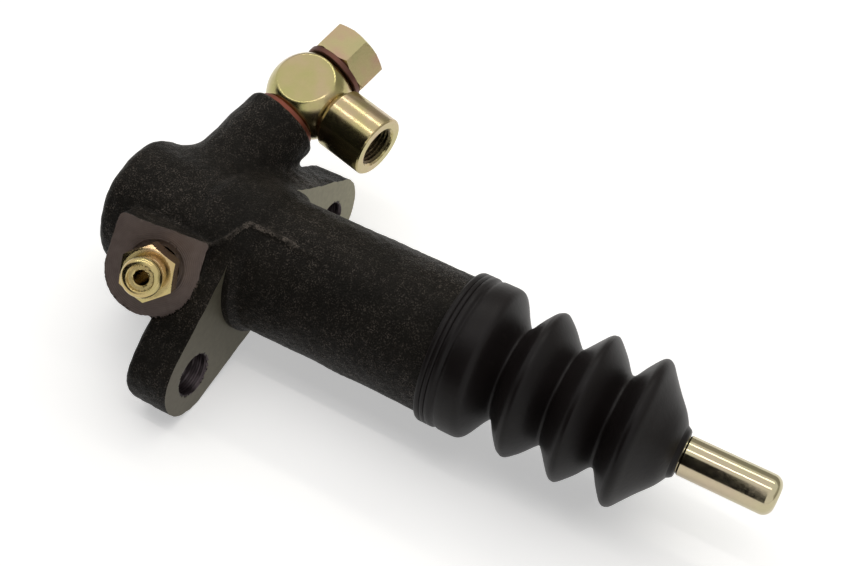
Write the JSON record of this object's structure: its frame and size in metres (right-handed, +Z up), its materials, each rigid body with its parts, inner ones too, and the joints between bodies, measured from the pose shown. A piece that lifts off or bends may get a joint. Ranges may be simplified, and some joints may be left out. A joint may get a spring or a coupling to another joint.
{
  "type": "clutch slave cylinder",
  "caption": "Flange mounted hydraulic slave cylinder with banjo elbow inlet, bleed screw, bellows boot and sliding push rod.",
  "frame": {"origin": "midway between the two mounting holes, on the machined face of the ears", "axes": "+X along the barrel towards the push rod's tip, +Y through the mounting hole on the port's side, +Z up"},
  "size_m": [0.1583, 0.0998, 0.0459],
  "materials": {
    "casting": "black coated, rough as cast",
    "yellow_zinc": "yellow passivated zinc",
    "bolt_zinc": "yellow passivated zinc",
    "copper": "dull copper",
    "bleeder_zinc": "yellow passivated zinc",
    "boot_rubber": "satin",
    "rod_zinc": "yellow passivated zinc",
    "piston_aluminium": "anodised",
    "seal_rubber": "matte",
    "seat_steel": "pressed",
    "spring_steel": "drawn wire"
  },
  "bodies": {
    "cylinder": {"housing": "casting", "port_elbow": "yellow_zinc", "banjo_bolt": "bolt_zinc", "upper_washer": "copper", "lower_washer": "copper", "boot": "boot_rubber", "return_spring": "spring_steel"},
    "piston": {"piston": "piston_aluminium", "primary_cup": "seal_rubber", "rear_seal": "seal_rubber", "spring_seat": "seat_steel", "push_rod": "rod_zinc"},
    "bleeder": {"bleeder_screw": "bleeder_zinc"}
  },
  "joints": [
    {"name": "piston_slide", "type": "slide", "parent": "cylinder", "child": "piston", "axis": [1, 0, 0], "range_m": [-0.022, 0.006], "deforming": ["boot", "return_spring"]},
    {"name": "bleeder_turn", "type": "hinge", "parent": "cylinder", "child": "bleeder", "pos_m": [-0.01346, -0.02053, 0.02027], "axis": [0.3502, -0.7069, 0.6145], "range_deg": [0, 180]}
  ]
}
